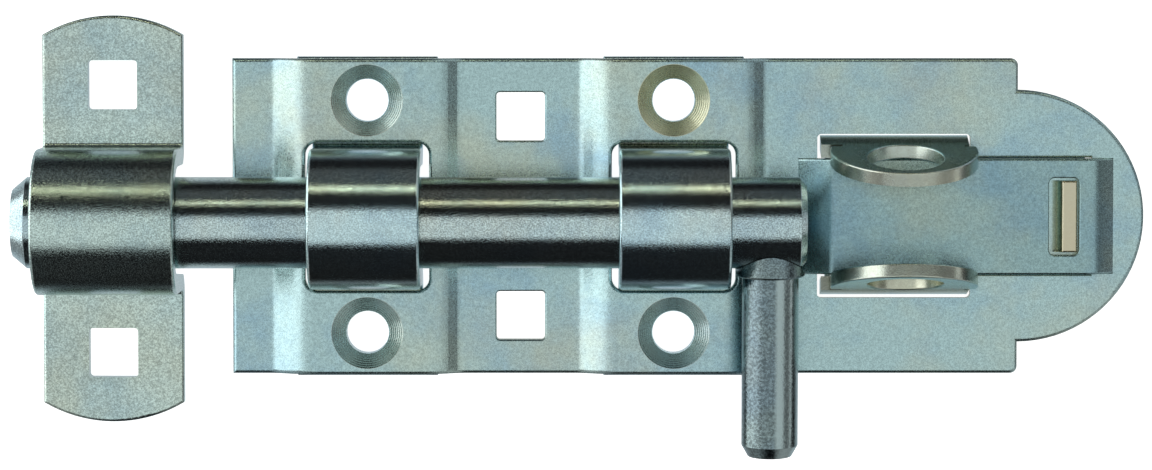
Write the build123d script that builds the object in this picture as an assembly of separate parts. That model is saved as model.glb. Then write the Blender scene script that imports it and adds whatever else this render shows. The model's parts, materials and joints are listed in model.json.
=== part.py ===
from build123d import *
from math import cos, radians, sin
import os

os.makedirs("parts", exist_ok=True)

# Padlockable round-bolt latch ("toggle bolt").  Millimetres.
# +X runs along the bolt from the keeper to the padlock end, +Z points out from the door,
# z = 0 is the back of the plate and of the keeper, and the origin is the middle of the
# four-screw pattern.

# ---- driving dimensions ----
plate_t = 2.0            # plate and staple sheet
strap_t = 2.5            # guide loop and keeper sheet
plate_left = -41.1
plate_shoulder = 70.9    # where the wide part ends and the round end starts
plate_half_y = 22.5
end_radius = 18.0        # round end of the plate
shoulder_corner_r = 1.0

pad_pitch_x = 43.6       # between the two raised pads, and between the screw columns
pad_half_base = 13.4     # half the pad's width where its flanks meet the plate
pad_rise = strap_t
pad_flank_w = 1.9        # straight part of a flank, seen from above
pad_bend_w = 4.3         # rounded part of a flank, seen from above
pad_wall = 0.9           # from the flank's foot in to the hollow behind it
foot_clearance = 0.15    # beside a guide loop's foot, in that hollow
pad_slope = 33.0         # degrees, at the flank
pad_crease_r = 2.6       # round inner corner at a flank's foot
window_x, window_y = 17.6, 21.1
window_r = 1.8
window_edge = 0.45
rolled_edge = 0.6        # front edges are rolled over where the sheet was punched
square_edge = 0.3
slit_edge = 0.35

screw_y = 16.55
screw_r = 3.0
sink_r = 5.1
square_y = 14.2
square_side = 6.9
square_r = 0.5

rod_r = 6.45
rod_left, rod_right = -71.3, 40.3
rod_z = 11.2             # bolt axis above the back face
rod_y = -0.5             # the bolt lies slack in its loops, a little to one side
tip_len, tip_drop = 2.0, 1.7
tail_chamfer = 0.9
turned_edge = 0.15       # broken edges of the bolt and the handle

loop_w = 15.7            # guide strap along the bolt
foot_w = 20.0            # its feet are wider
loop_outer_r = 9.9
foot_end_y = 22.75
strap_bend_r = 0.6       # outer, concave bend between a strap's leg and its foot
sheared_edge = 0.45

keeper_x, keeper_y = -58.1, -0.4
keeper_w = 20.0
keeper_outer_r = 10.3
keeper_end_y = 29.0
keeper_end_r = 19.5
keeper_hole_y = 19.1
keeper_hole_side = 7.0

handle_x = 35.3
handle_r = 4.0
handle_reach = 33.3      # from the bolt axis
handle_droop = 5.0       # degrees below level, where it rests near the plate's edge
handle_tip_len, handle_tip_drop = 1.6, 0.9
handle_gap = 0.08        # running clearance over the bolt
collar_r, collar_h, collar_edge = 4.9, 1.1, 0.35

bridge_half_y = 8.25     # lanced bridge over the staple's base
bridge_rise = plate_t
bridge_foot_l, bridge_top_l = 39.6, 44.2
bridge_top_r, bridge_foot_r = 81.5, 84.5
bridge_slit = 0.05
bridge_bend_l, bridge_bend_r = 1.6, 3.4
ramp_wall = 0.9
staple_window = (42.3, 64.15, 11.7)
staple_window_r = 0.6
slot_l, slot_r, slot_half_y, slot_corner = 75.2, 79.45, 5.5, 0.8
slot_edge = 0.25

staple_l, staple_r = 43.4, 63.8
ear_l = 42.75             # the bends at the ears' roots start a little farther out
ear_x = 54.4             # middle of the ears
ear_r = 10.5             # their round heads
ear_neck_half = 8.7      # they draw in where they leave the base
ear_root_y = 10.9        # ear's outer face where it leaves the plate
ear_leans = {1: 16.0, -1: 11.5}  # degrees towards the bolt, for the +Y and the -Y ear
ear_height = 15.3        # up the ear's face, above the plate's top
ear_hole_r = 5.4
ear_hole_z = 9.7
ear_edge = 0.25
ear_shelf = 2.3          # height of an ear's full-width root, up its face
ear_notch = 3.1          # the notches between root and head end here
tab_l, tab_r, tab_half_y = 77.0, 79.2, 5.1
tab_top = 3.8            # just below the bridge's top
tab_bend_r = 1.5
tab_edge = 0.3
strip_half_y = 8.27      # the staple's tail under the bridge
strip_r = 80.5           # where that tail ends

through = 60.0           # length of a cutter that goes right through
near = 0.01              # how close to a plane an edge lies to be picked out
overcut = 0.01           # a countersink's cutter stands this far out of the metal


def strap_arch(outer_r, half_end, width, foot_width):
    """A strap that goes over the bolt in a round arch and turns out into two flat feet."""
    inner_r = outer_r - strap_t
    turn_r = strap_t + strap_bend_r
    bend_y = outer_r + strap_bend_r
    with BuildPart() as arch:
        with BuildSketch(Plane.YZ.offset(-width / 2)):
            with BuildLine():
                Line((-outer_r, rod_z), (-outer_r, strap_t + strap_bend_r))
                ThreePointArc((-outer_r, rod_z), (0, rod_z + outer_r), (outer_r, rod_z))
                Line((outer_r, rod_z), (outer_r, strap_t + strap_bend_r))
                RadiusArc((outer_r, strap_t + strap_bend_r), (bend_y, strap_t), -strap_bend_r)
                Line((bend_y, strap_t), (bend_y, 0))
                RadiusArc((bend_y, 0), (inner_r, turn_r), turn_r)
                Line((inner_r, turn_r), (inner_r, rod_z))
                ThreePointArc((inner_r, rod_z), (0, rod_z + inner_r), (-inner_r, rod_z))
                Line((-inner_r, rod_z), (-inner_r, turn_r))
                RadiusArc((-inner_r, turn_r), (-bend_y, 0), turn_r)
                Line((-bend_y, 0), (-bend_y, strap_t))
                RadiusArc((-bend_y, strap_t), (-outer_r, strap_t + strap_bend_r), -strap_bend_r)
            make_face()
        extrude(amount=width)
    feet = [
        Pos(0, side * (bend_y + half_end) / 2, strap_t / 2)
        * Box(foot_width, half_end - bend_y, strap_t)
        for side in (-1, 1)
    ]
    return arch.part + feet


def roll_rims(strap, outer_r, width):
    """Round the edges of a strap's outer side, down through its bends and about its feet."""
    top = rod_z + outer_r

    def on_rim(edge):
        c = edge.center()
        if abs(c.Z - strap_t) < near:
            return abs(c.Y) > outer_r + 1
        outside = abs(abs(c.X) - width / 2) < near and abs(c.Y) > outer_r - near
        return c.Z > top - 0.1 or (outside and c.Z > strap_t)

    return strap.fillet(sheared_edge, strap.edges().filter_by(on_rim))


def square_hole(x, y, side):
    hole = extrude(RectangleRounded(side, side, square_r), amount=through, both=True)
    return Pos(x, y, 0) * hole


def pad_section(centre):
    """The plate's section across one raised pad: z against x, straight flanks and round bends."""
    flat_half = pad_half_base - pad_flank_w - pad_bend_w
    slope = radians(pad_slope)
    bend_r = pad_bend_w / sin(slope)
    knee_z = plate_t + pad_rise - bend_r * (1 - cos(slope))
    top = plate_t + pad_rise
    mid_half = flat_half + bend_r * sin(slope / 2)
    mid_z = top - bend_r * (1 - cos(slope / 2))
    under_half = foot_w / 2 + foot_clearance
    knee_half = flat_half + pad_bend_w
    with BuildPart() as band:
        with BuildSketch(Plane.XZ):
            with BuildLine():
                Line((-pad_half_base, plate_t), (-knee_half, knee_z))
                ThreePointArc((-knee_half, knee_z), (-mid_half, mid_z), (-flat_half, top))
                Line((-flat_half, top), (flat_half, top))
                ThreePointArc((flat_half, top), (mid_half, mid_z), (knee_half, knee_z))
                Polyline(
                    (knee_half, knee_z),
                    (pad_half_base, plate_t),
                    (pad_half_base, 0),
                    (pad_half_base - pad_wall, 0),
                    (under_half, pad_rise),
                    (-under_half, pad_rise),
                    (pad_wall - pad_half_base, 0),
                    (-pad_half_base, 0),
                    (-pad_half_base, plate_t),
                )
            make_face()
        extrude(amount=plate_half_y, both=True)
    return Pos(centre, 0, 0) * band.part


def bridge():
    """The lanced bridge: two ramps and a level top over the staple's base."""
    top = plate_t + bridge_rise
    with BuildPart() as strip:
        with BuildSketch(Plane.XZ):
            with BuildLine():
                Polyline(
                    (bridge_foot_l, plate_t),
                    (bridge_top_l, top),
                    (bridge_top_r, top),
                    (bridge_foot_r, plate_t),
                    (bridge_foot_r, 0),
                    (bridge_foot_r - ramp_wall, 0),
                    (bridge_top_r - ramp_wall, bridge_rise),
                    (bridge_top_l - ramp_wall, bridge_rise),
                    (bridge_foot_l + ramp_wall, 0),
                    (bridge_foot_l, 0),
                    close=True,
                )
            make_face()
        extrude(amount=bridge_half_y, both=True)
    knees = strip.part.edges().filter_by(Axis.Y).group_by(Axis.Z)[-1].sort_by(Axis.X)
    body = strip.part.fillet(bridge_bend_l, knees[:1])
    far_knee = Vector(bridge_top_r, 0, top)
    crossing = body.edges().filter_by(Axis.Y)
    body = body.fillet(bridge_bend_r, [min(crossing, key=lambda e: (e.center() - far_knee).length)])
    sides = body.edges().filter_by(
        lambda e: abs(abs(e.center().Y) - bridge_half_y) < near and e.center().Z > top - 0.02
    )
    return body.fillet(slit_edge, sides)


def plate_blank():
    """The flat outline: a rectangle with a round padlock end."""
    flat = Pos((plate_left + plate_shoulder) / 2, 0) * Rectangle(
        plate_shoulder - plate_left, 2 * plate_half_y
    )
    flat = flat.face().fillet_2d(
        shoulder_corner_r, [v for v in flat.vertices() if v.X > plate_shoulder - near]
    )
    return extrude(flat + Pos(plate_shoulder, 0) * Circle(end_radius), amount=plate_t)


def base_plate():
    sheet = plate_blank()
    for side in (-1, 1):
        centre = side * pad_pitch_x / 2
        sheet -= Pos(centre, 0, plate_t / 2) * Box(2 * pad_half_base, 3 * plate_half_y, 3 * plate_t)
        sheet += pad_section(centre)
    creases = sheet.edges().filter_by(Axis.Y).filter_by(
        lambda e: abs(abs(abs(e.center().X) - pad_pitch_x / 2) - pad_half_base) < near
        and abs(e.center().Z - plate_t) < near
    )
    sheet = sheet.fillet(pad_crease_r, creases)
    rim = sheet.edges().filter_by(
        lambda e: e.center().Z > plate_t - near
        and (
            abs(abs(e.center().Y) - plate_half_y) < near
            or e.center().X < plate_left + near
            or e.center().X > plate_shoulder - 2 * shoulder_corner_r
        )
    )
    sheet = sheet.fillet(rolled_edge, rim)
    for y in (-square_y, square_y):
        sheet -= square_hole(0, y, square_side)
    for side in (-1, 1):
        centre = side * pad_pitch_x / 2
        sheet -= Pos(centre, 0, 0) * extrude(
            RectangleRounded(window_x, window_y, window_r), amount=through
        )
        for y in (-screw_y, screw_y):
            sheet -= Pos(centre, y, 0) * Cylinder(screw_r, through)
            depth = sink_r - screw_r
            sheet -= Pos(centre, y, plate_t + pad_rise - depth / 2 + overcut) * Cone(
                screw_r, sink_r + overcut, depth
            )
    left, right, half_y = staple_window
    window = RectangleRounded(right - left, 2 * half_y, staple_window_r)
    sheet -= extrude(Pos((left + right) / 2, 0) * window, amount=through)
    lane = bridge_foot_r - bridge_foot_l
    lance = Pos(bridge_foot_l + lane / 2, 0, 0) * Box(lane, 2 * bridge_half_y, through)
    lane_half = bridge_half_y + bridge_slit
    slit = Pos((bridge_top_l + bridge_top_r) / 2, 0, 0) * Box(
        bridge_top_r - bridge_top_l, 2 * lane_half, through
    )
    sheet -= lance + slit
    lips = sheet.edges().filter_by(Axis.X).filter_by(
        lambda e: abs(abs(e.center().Y) - lane_half) < near and abs(e.center().Z - plate_t) < near
    )
    sheet = sheet.fillet(slit_edge, lips)
    sheet += bridge()
    slot = Pos((slot_l + slot_r) / 2, 0) * RectangleRounded(
        slot_r - slot_l, 2 * slot_half_y, slot_corner
    )
    sheet -= extrude(slot, amount=through)
    top = plate_t + bridge_rise
    slot_rim = sheet.edges().filter_by(
        lambda e: slot_l - 0.1 < e.center().X < slot_r + 0.1
        and abs(e.center().Y) < slot_half_y + 0.1
        and abs(e.center().Z - top) < near
    )
    sheet = sheet.fillet(slot_edge, slot_rim)
    return roll_windows(sheet)


def roll_windows(sheet):
    """Round the front edge of each punched opening."""
    half_x, half_y = window_x / 2, window_y / 2

    def on_guide_window(edge):
        c = edge.center()
        near = abs(abs(c.X) - pad_pitch_x / 2) < half_x + 0.02 and abs(c.Y) < half_y + 0.02
        return near and c.Z > plate_t + 1.0 and abs(edge.bounding_box().size.Z) < 1.0

    def on_square(edge):
        c = edge.center()
        half = square_side / 2 + 0.02
        return abs(c.X) < half and abs(abs(c.Y) - square_y) < half and abs(c.Z - plate_t) < near

    sheet = sheet.fillet(window_edge, sheet.edges().filter_by(on_guide_window))
    return sheet.fillet(square_edge, sheet.edges().filter_by(on_square))


def guide_loop(centre):
    loop = strap_arch(loop_outer_r, foot_end_y, loop_w, foot_w)
    loop = roll_rims(loop, loop_outer_r, loop_w)
    for y in (-screw_y, screw_y):
        loop -= Pos(0, y, 0) * Cylinder(screw_r, through)
    return Pos(centre, 0, 0) * loop


def keeper_loop():
    keeper = strap_arch(keeper_outer_r, keeper_end_y, keeper_w, keeper_w)
    disc_y = keeper_end_y - keeper_end_r
    rounded = [Pos(0, y, 0) * Cylinder(keeper_end_r, through) for y in (-disc_y, disc_y)]
    keeper = keeper & (rounded[0] + rounded[1])
    keeper = roll_rims(keeper, keeper_outer_r, keeper_w)
    for y in (-keeper_hole_y, keeper_hole_y):
        keeper -= square_hole(0, y, keeper_hole_side)
    return Pos(keeper_x, keeper_y, 0) * keeper


def ear(side):
    """One padlock ear: a round-headed blade that leans in over the bridge."""
    lean = radians(ear_leans[side])
    head = Pos(0, ear_height - ear_r) * Circle(ear_r)
    below = Pos(0, ear_notch - ear_r) * Rectangle(3 * ear_r, 2 * ear_r)
    blade = head - below + Rectangle(2 * ear_neck_half, 2 * ear_notch + 0.5)
    shelf_x = side * (ear_x - (ear_l + staple_r) / 2)
    blade += Pos(shelf_x, 0) * Rectangle(staple_r - ear_l, 2 * ear_shelf)
    # the blade's plane: its y climbs the ear, and its normal looks away from the bolt
    outer_face = Plane(
        origin=(ear_x, side * ear_root_y, plate_t),
        x_dir=(-side, 0, 0),
        z_dir=(0, side * cos(lean), sin(lean)),
    )
    body = extrude(outer_face * blade, amount=-plate_t)
    above_back = Pos(ear_x, 0, through / 2) * Box(through, through, through)
    return body & above_back


def padlock_staple():
    """One blank under the bridge: two ears bent up at its sides and a locking tab at its tail."""
    base = Pos((staple_l + staple_r) / 2, 0, plate_t / 2) * Box(
        staple_r - staple_l, 2 * ear_root_y, plate_t
    )
    strip = Pos((staple_r + strip_r) / 2, 0, plate_t / 2) * Box(
        strip_r - staple_r, 2 * strip_half_y, plate_t
    )
    tab = Pos((tab_l + tab_r) / 2, 0, tab_top / 2) * Box(tab_r - tab_l, 2 * tab_half_y, tab_top)
    tab = tab.fillet(tab_edge, tab.faces().sort_by(Axis.Z)[-1].edges())
    bend = Pos(tab_l - tab_bend_r / 2, 0, plate_t + tab_bend_r / 2) * Box(
        tab_bend_r, 2 * tab_half_y, tab_bend_r
    )
    bend -= Pos(tab_l - tab_bend_r, 0, plate_t + tab_bend_r) * Rot(90, 0, 0) * Cylinder(
        tab_bend_r, 3 * tab_half_y
    )
    staple = base + strip + tab + bend + ear(-1) + ear(1)
    staple -= Pos(ear_x, 0, ear_hole_z) * Rot(90, 0, 0) * Cylinder(ear_hole_r, through)
    shelf_z = plate_t + ear_notch + 0.5
    rims = staple.edges().filter_by(
        lambda e: e.center().Z > shelf_z
        and abs(e.center().Y) > tab_half_y + 0.1
        and e.length > 2 * plate_t
    )
    return staple.fillet(ear_edge, rims)


def bolt_rod():
    """The round bolt, turned from its axis outline."""
    with BuildPart() as rod:
        with BuildSketch(Plane.XZ):
            with BuildLine():
                Polyline(
                    (rod_left, 0),
                    (rod_left, rod_r - tip_drop),
                    (rod_left + tip_len, rod_r),
                    (rod_right - tail_chamfer, rod_r),
                    (rod_right, rod_r - tail_chamfer),
                    (rod_right, 0),
                    close=True,
                )
            make_face()
        revolve(axis=Axis.X)
    body = rod.part.fillet(turned_edge, rod.part.edges().filter_by(GeomType.CIRCLE))
    return Pos(0, rod_y, rod_z) * body


def about_bolt(shape):
    """Stand a shape, drawn pointing up from the bolt's axis, at the handle's resting angle."""
    return Pos(handle_x, rod_y, rod_z) * Rot(90 + handle_droop, 0, 0) * shape


def coped(shape):
    """Cut a shape to the bolt's round, with running clearance."""
    return shape - Rot(0, 90, 0) * Cylinder(rod_r + handle_gap, through)


def handle_pin():
    straight = handle_reach - handle_tip_len
    with BuildPart() as pin:
        with BuildSketch(Plane.XZ):
            with BuildLine():
                Polyline(
                    (0, 0),
                    (handle_r, 0),
                    (handle_r, straight),
                    (handle_r - handle_tip_drop, handle_reach),
                    (0, handle_reach),
                    close=True,
                )
            make_face()
        revolve(axis=Axis.Z)
    rings = pin.part.edges().filter_by(GeomType.CIRCLE).sort_by(Axis.Z)
    return about_bolt(coped(pin.part.fillet(turned_edge, rings[-2:])))


def handle_collar():
    """The ring that seats the handle on the bolt."""
    reach = rod_r + collar_h
    ring = Pos(0, 0, reach / 2) * Cylinder(collar_r, reach)
    ring = ring.fillet(collar_edge, ring.edges().sort_by(Axis.Z)[-1:])
    ring -= Cylinder(handle_r, through)
    return about_bolt(coped(ring))


nodes = {
    "base_plate": base_plate(),
    "guide_loop_front": guide_loop(-pad_pitch_x / 2),
    "guide_loop_rear": guide_loop(pad_pitch_x / 2),
    "padlock_staple": padlock_staple(),
    "bolt_rod": bolt_rod(),
    "handle_pin": handle_pin(),
    "handle_collar": handle_collar(),
    "keeper_loop": keeper_loop(),
}
for name, shape in nodes.items():
    export_step(shape, f"parts/{name}.step")
    print(name, len(shape.solids()), round(shape.volume, 1))
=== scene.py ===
"""Looks of the toggle bolt latch: zinc-plated steel, studio light and the camera."""

import json
import math

import bpy
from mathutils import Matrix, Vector


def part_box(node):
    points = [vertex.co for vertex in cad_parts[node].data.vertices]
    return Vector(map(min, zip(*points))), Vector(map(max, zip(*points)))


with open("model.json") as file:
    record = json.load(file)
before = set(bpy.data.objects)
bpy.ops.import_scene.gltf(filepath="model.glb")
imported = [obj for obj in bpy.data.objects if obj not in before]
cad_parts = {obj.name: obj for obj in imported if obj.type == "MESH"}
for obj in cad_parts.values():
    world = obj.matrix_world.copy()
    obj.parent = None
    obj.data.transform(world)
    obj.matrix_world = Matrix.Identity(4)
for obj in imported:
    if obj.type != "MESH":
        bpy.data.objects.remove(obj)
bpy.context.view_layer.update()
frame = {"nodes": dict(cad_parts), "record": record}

# ---- places read from the frame ----
plate_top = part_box("base_plate")[1].z

MM = 0.001
FLOOR_GAP = 0.05 * MM    # the floor lies this far under the back faces

# places on the metal, in millimetres
SINK_R = 5.15            # just outside a countersink
SHEARED_Z = 3.0          # above this the staple's edge faces show their sheared tan
TAB_X = 76.8             # the locking tab lies beyond this
BRIDGE_X = 39.0          # the lanced bridge lies beyond this
CUT_EDGE = (0.62, 0.55, 0.38)


# ---------------------------------------------------------------- node helpers
class Nodes:
    """A short way to write a material's node tree."""

    def __init__(self, name):
        self.material = bpy.data.materials.new(name)
        self.material.use_nodes = True
        self.tree = self.material.node_tree
        self.shader = self.tree.nodes["Principled BSDF"]
        self.object_co = self.tree.nodes.new("ShaderNodeTexCoord").outputs["Object"]

    def put(self, socket, value):
        if hasattr(value, "links"):
            self.tree.links.new(value, socket)
        else:
            socket.default_value = value

    def place(self, scale, offset=(0.0, 0.0, 0.0)):
        node = self.tree.nodes.new("ShaderNodeMapping")
        self.put(node.inputs["Vector"], self.object_co)
        node.inputs["Scale"].default_value = scale
        node.inputs["Location"].default_value = offset
        return node.outputs["Vector"]

    def noise(self, scale, detail=4.0, roughness=0.55, stretch=(1, 1, 1), offset=(0, 0, 0)):
        node = self.tree.nodes.new("ShaderNodeTexNoise")
        self.put(node.inputs["Vector"], self.place(stretch, offset))
        node.inputs["Scale"].default_value = scale
        node.inputs["Detail"].default_value = detail
        node.inputs["Roughness"].default_value = roughness
        return node.outputs["Fac"]

    def ramp(self, value, *stops):
        """stops are (position, level) pairs, or (position, (r, g, b)) pairs."""
        node = self.tree.nodes.new("ShaderNodeValToRGB")
        self.put(node.inputs["Fac"], value)
        elements = node.color_ramp.elements
        while len(elements) < len(stops):
            elements.new(0.5)
        for element, (position, level) in zip(elements, stops):
            element.position = position
            colour = level if isinstance(level, tuple) else (level, level, level)
            element.color = (*colour, 1.0)
        return node.outputs["Color"]

    def mix(self, factor, a, b, blend="MIX"):
        node = self.tree.nodes.new("ShaderNodeMix")
        node.data_type = "RGBA"
        node.blend_type = blend
        self.put(node.inputs["Factor"], factor)
        for socket, value in ((node.inputs["A"], a), (node.inputs["B"], b)):
            if isinstance(value, tuple):
                value = (*value, 1.0)
            self.put(socket, value)
        return node.outputs["Result"]

    def maths(self, operation, a, b=0.0, c=0.0):
        node = self.tree.nodes.new("ShaderNodeMath")
        node.operation = operation
        for socket, value in zip(node.inputs, (a, b, c)):
            self.put(socket, value)
        return node.outputs["Value"]

    def part_of(self, axis):
        """The object's own x, y or z, in millimetres."""
        node = self.tree.nodes.new("ShaderNodeSeparateXYZ")
        self.put(node.inputs["Vector"], self.object_co)
        return self.maths("DIVIDE", node.outputs[axis], MM)

    def facing(self, axis):
        """How far the surface's normal lies along an axis, 0 to 1 either way."""
        geometry = self.tree.nodes.new("ShaderNodeNewGeometry")
        node = self.tree.nodes.new("ShaderNodeSeparateXYZ")
        self.put(node.inputs["Vector"], geometry.outputs["True Normal"])
        return self.maths("ABSOLUTE", node.outputs[axis])

    def bump(self, height, strength, distance, under=None):
        node = self.tree.nodes.new("ShaderNodeBump")
        node.inputs["Strength"].default_value = strength
        node.inputs["Distance"].default_value = distance
        self.put(node.inputs["Height"], height)
        if under is not None:
            self.put(node.inputs["Normal"], under)
        return node.outputs["Normal"]

    def wire(self, **sockets):
        for name, value in sockets.items():
            name = name.replace("_", " ")
            if isinstance(value, tuple):
                value = (*value, 1.0)
            self.put(self.shader.inputs[name], value)


# ---------------------------------------------------------------- zinc plate
def zinc(
    name,
    base=(0.46, 0.65, 0.66),
    tan=(0.63, 0.64, 0.45),
    blue=(0.34, 0.54, 0.66),
    tan_share=0.5,
    roughness=0.28,
    speck=0.5,
    speck_scale=4600,
    offset=0,
):
    """Bright zinc plating: pale metal with thin clouds of yellow and blue passivation.

    offset moves the clouds, so that no two pieces share a pattern.
    """
    n = Nodes(name)
    shift = (offset, 0, 0)
    clouds = n.noise(38, 5, 0.58, offset=shift)
    patches = n.noise(75, 6, 0.62, offset=shift)
    fine = n.noise(1500, 5, 0.75, offset=shift)
    grit = n.noise(speck_scale, 2, 0.7, offset=shift)
    specks = n.ramp(grit, (0.40, 0.0), (0.62, 1.0))

    tan_mask = n.maths("MULTIPLY", n.ramp(clouds, (0.47, 0.0), (0.66, 1.0)), tan_share)
    blue_mask = n.maths("MULTIPLY", n.ramp(patches, (0.46, 0.0), (0.64, 1.0)), 0.75)
    colour = n.mix(blue_mask, base, blue)
    colour = n.mix(tan_mask, colour, tan)
    colour = n.mix(1.0, colour, n.ramp(fine, (0.32, 0.84), (0.70, 1.10)), "MULTIPLY")
    dark = n.mix(1.0, colour, n.ramp(specks, (0, 0.55), (1, 1.22)), "MULTIPLY")
    n.colour = n.mix(speck, colour, dark)

    rough = n.maths("MULTIPLY_ADD", n.maths("SUBTRACT", patches, 0.5), 0.16, roughness)
    rough = n.maths("MULTIPLY_ADD", n.maths("SUBTRACT", specks, 0.5), 0.10 * speck, rough)
    n.normal = n.bump(fine, 0.22, 0.02 * MM, n.bump(specks, speck, 0.008 * MM))
    n.wire(Base_Color=n.colour, Roughness=rough, Normal=n.normal)
    n.shader.inputs["Metallic"].default_value = 1.0
    return n


def plate_zinc():
    """The plate: zinc with turning rings in the countersinks, tan sheared edges and painted shade
    on the raised bridge.
    """
    n = zinc("plate_zinc", offset=1)
    x, y = n.part_of("X"), n.part_of("Y")
    across = n.maths("SUBTRACT", n.maths("ABSOLUTE", x), screw_x)
    along = n.maths("SUBTRACT", n.maths("ABSOLUTE", y), screw_y)
    squared = n.maths("MULTIPLY_ADD", across, across, n.maths("MULTIPLY", along, along))
    radius = n.maths("SQRT", squared)
    inside = n.maths("LESS_THAN", radius, SINK_R)
    rings = n.maths("MULTIPLY", n.maths("SINE", n.maths("MULTIPLY", radius, 22.0)), inside)
    # the countersink above the bolt at the padlock end took more of the yellow
    warm = n.maths("MULTIPLY", n.maths("GREATER_THAN", x, 0.0), n.maths("GREATER_THAN", y, 0.0))
    warm = n.maths("MULTIPLY", n.maths("MULTIPLY", warm, inside), 0.55)
    tone = n.mix(n.maths("MULTIPLY", inside, 0.35), n.colour, (0.62, 0.64, 0.56))
    tone = n.mix(warm, tone, (0.66, 0.62, 0.36))
    # painted shade: the raised bridge is painted darker towards its top
    painted_bridge_shade = n.ramp(n.maths("MULTIPLY_ADD", n.part_of("Z"), 0.5, -1.0), (0.05, 0.0), (0.8, 1.0))
    painted_bridge_shade = n.maths("MULTIPLY", painted_bridge_shade, n.maths("GREATER_THAN", x, BRIDGE_X))
    tone = n.mix(painted_bridge_shade, tone, (0.73, 0.77, 0.77), "MULTIPLY")
    cut = n.ramp(n.facing("Z"), (0.05, 0.8), (0.35, 0.0))
    n.wire(Base_Color=n.mix(cut, tone, CUT_EDGE), Normal=n.bump(rings, 0.35, 0.02 * MM, n.normal))
    return n


def staple_zinc():
    """The staple: the same zinc, tan on its sheared rims and on the end of the tab."""
    n = zinc("staple_zinc", roughness=0.24, speck=0.3, offset=9)
    rim = n.ramp(n.facing("Y"), (0.30, 0.45), (0.70, 0.0))
    high = n.maths("GREATER_THAN", n.part_of("Z"), SHEARED_Z)
    tab = n.maths("MULTIPLY", n.maths("GREATER_THAN", n.part_of("X"), TAB_X), high)
    cut = n.maths("MAXIMUM", n.maths("MULTIPLY", rim, high), n.maths("MULTIPLY", tab, 0.85))
    n.wire(Base_Color=n.mix(cut, n.colour, CUT_EDGE))
    return n


def handle_zinc():
    """The handle: dark and coarse on the side towards the keeper, with a painted highlight making
    the other side brighter.
    """
    n = zinc("handle_zinc", **DARK_AND_SHADE, speck_scale=2600, roughness=0.20, offset=15)
    low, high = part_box("handle_pin")
    middle = (low.x + high.x) / 2 / MM
    side = n.maths("SUBTRACT", n.part_of("X"), middle)
    # painted highlight: the half away from the keeper is painted lighter, standing in for the
    # lamps' reflection
    painted_highlight_side = n.ramp(n.maths("MULTIPLY_ADD", side, 0.25, 0.5), (0.60, 0.0), (0.74, 0.8))
    n.wire(Base_Color=n.mix(painted_highlight_side, n.colour, (0.40, 0.50, 0.50)))
    return n


def dress(node, finish):
    """Give a CAD node its finish."""
    slots = frame["nodes"][node].data.materials
    slots.clear()
    slots.append(finish.material)


screws = next(m for m in frame["record"]["mounts"] if m["name"] == "screw_pattern")["dims"]
screw_x, screw_y = screws["spacing_x_mm"] / 2, screws["spacing_y_mm"] / 2

# finishes: the pale metal, its two tints, and how strongly the specks show
STRAP = dict(base=(0.56, 0.70, 0.70), tan=(0.60, 0.57, 0.44), blue=(0.40, 0.55, 0.62), speck=0.7)
LOOP = dict(base=(0.58, 0.77, 0.80), tan=(0.60, 0.57, 0.44), blue=(0.42, 0.60, 0.70), speck=0.55)
KEEPER = dict(base=(0.58, 0.73, 0.69), tan=(0.60, 0.62, 0.46), blue=(0.43, 0.59, 0.62), speck=0.8)
# dark zinc for the handle; on the collar the same dark tone is painted shade
DARK_AND_SHADE = dict(base=(0.23, 0.30, 0.30), tan=(0.28, 0.31, 0.26), blue=(0.18, 0.25, 0.29), speck=1.0)
dress("base_plate", plate_zinc())
dress("guide_loop_front", zinc("loop_front_zinc", **LOOP, roughness=0.13, offset=4))
dress("guide_loop_rear", zinc("loop_rear_zinc", **LOOP, roughness=0.13, offset=7))
dress("padlock_staple", staple_zinc())
dress("bolt_rod", zinc("bolt_zinc", **STRAP, roughness=0.12, offset=12))
dress("handle_pin", handle_zinc())
# the collar's dark tone is painted shade, for the shadow between the bolt and the handle
dress("handle_collar", zinc("collar_zinc", **DARK_AND_SHADE, roughness=0.2, offset=18))
dress("keeper_loop", zinc("keeper_zinc", **KEEPER, roughness=0.17, offset=21))


# ---------------------------------------------------------------- studio
def floor():
    size = 3.0
    bpy.ops.mesh.primitive_plane_add(size=size, location=(0, 0, -FLOOR_GAP))
    obj = bpy.context.object
    obj.name = "floor"
    n = Nodes("pale_floor")
    tone = n.ramp(n.noise(3, 2, 0.5), (0.3, (0.93, 0.93, 0.93)), (0.7, (0.95, 0.95, 0.95)))
    n.wire(Base_Color=tone)
    n.shader.inputs["Roughness"].default_value = 0.9
    n.shader.inputs["Emission Color"].default_value = (1, 1, 1, 1)
    n.shader.inputs["Emission Strength"].default_value = 0.9
    obj.data.materials.append(n.material)
    obj.visible_glossy = False


def panel(name, place, aim, width, height, radiance, colour=(1, 1, 1)):
    """A flat light of the given brightness, which doesn't change with its size."""
    light = bpy.data.lights.new(name, "AREA")
    light.shape = "RECTANGLE"
    light.size, light.size_y = width, height
    light.energy = radiance * math.pi * width * height
    light.color = colour
    obj = bpy.data.objects.new(name, light)
    bpy.context.scene.collection.objects.link(obj)
    obj.location = place
    direction = Vector(aim) - Vector(place)
    obj.rotation_euler = direction.to_track_quat("-Z", "Y").to_euler()


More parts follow.
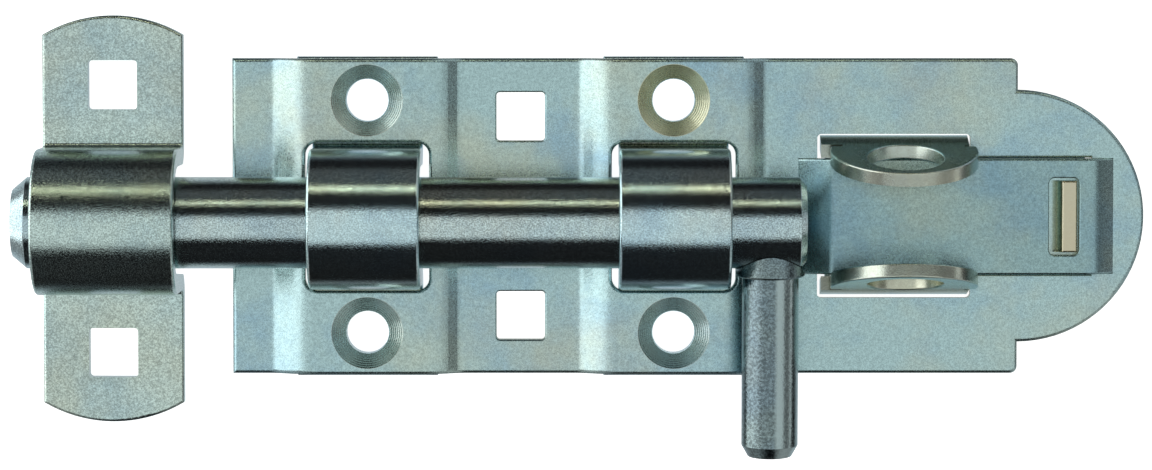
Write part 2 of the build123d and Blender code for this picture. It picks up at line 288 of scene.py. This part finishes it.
def studio():
    overhead_z = 1.2
    # the overhead's four edges, by the angle at which the latch sees them
    x_low, x_high, y_low, y_high = (
        overhead_z * math.tan(math.radians(angle)) for angle in (-36, 58, -38, 18)
    )
    middle = ((x_low + x_high) / 2, (y_low + y_high) / 2)
    panel(
        "overhead",
        (*middle, overhead_z),
        (*middle, 0.0),
        x_high - x_low,
        y_high - y_low,
        0.80,
        (0.97, 1.0, 1.0),
    )
    panel("left_box", (-1.0, 0.35, 0.5), (0, 0.35, 0.5), 1.5, 1.8, 1.8)
    panel("right_fill", (1.9, 0.0, 0.55), (0, 0, 0.55), 1.4, 0.9, 0.14)
    panel("right_low", (1.9, 0.0, 0.0), (0, 0, 0.0), 1.4, 0.4, 0.9)
    panel("back_fill", (0.0, 1.9, 0.5), (0, 0, 0.5), 2.6, 1.2, 0.08)
    # the narrow yellow line along the bolt and the loops
    strip_angle, strip_reach = math.radians(53), 1.3
    panel(
        "strip",
        (0.0, strip_reach * math.sin(strip_angle), strip_reach * math.cos(strip_angle)),
        (0.008, 0.0, 0.01),
        2.0,
        0.07,
        4.1,
        (1.0, 0.94, 0.66),
    )


def room():
    """Dark above and beside, brighter below, and softly lit windows in the four corners."""
    world = bpy.data.worlds.new("dim_room")
    world.use_nodes = True
    tree = world.node_tree

    def add(kind, operation=None, **inputs):
        node = tree.nodes.new(kind)
        if operation:
            node.operation = operation
        for name, value in inputs.items():
            socket = node.inputs[int(name[1:])] if name[1:].isdigit() else node.inputs[name]
            if hasattr(value, "links"):
                tree.links.new(value, socket)
            else:
                socket.default_value = value
        return node

    direction = add("ShaderNodeTexCoord").outputs["Generated"]
    axes = add("ShaderNodeSeparateXYZ", Vector=direction).outputs
    height = add("ShaderNodeMath", "MULTIPLY_ADD", _0=axes["Z"], _1=0.5, _2=0.5).outputs[0]
    tone = add("ShaderNodeValToRGB", Fac=height)
    low, high = tone.color_ramp.elements
    low.position, low.color = 0.10, (0.55, 0.62, 0.66, 1)
    high.position, high.color = 0.26, (0.015, 0.015, 0.016, 1)
    diagonal = add("ShaderNodeMath", "MULTIPLY", _0=axes["X"], _1=axes["Y"]).outputs[0]
    diagonal = add("ShaderNodeMath", "ABSOLUTE", _0=diagonal).outputs[0]
    corner = add("ShaderNodeMath", "MULTIPLY_ADD", _0=diagonal, _1=2.6, _2=-0.42)
    corner.use_clamp = True
    lift = add("ShaderNodeMath", "MULTIPLY", _0=corner.outputs[0], _1=0.6).outputs[0]
    total = add("ShaderNodeVectorMath", "ADD", _0=tone.outputs["Color"], _1=lift)
    tree.links.new(total.outputs["Vector"], tree.nodes["Background"].inputs["Color"])
    bpy.context.scene.world = world


def camera():
    distance = 0.68
    tilt = math.radians(3.0)
    aim = Vector((7.9 * MM, -2.7 * MM, plate_top / 2))
    data = bpy.data.cameras.new("camera")
    data.sensor_width = 36.0
    data.lens = 149.0
    data.clip_start = 0.02
    obj = bpy.data.objects.new("camera", data)
    bpy.context.scene.collection.objects.link(obj)
    obj.location = aim + distance * Vector((0.0, math.sin(tilt), math.cos(tilt)))
    # turning about X alone keeps the bolt level across the frame
    obj.rotation_euler = (-tilt, 0.0, 0.0)
    bpy.context.scene.camera = obj
    bpy.context.scene.view_settings.view_transform = "Standard"


floor()
studio()
room()
camera()
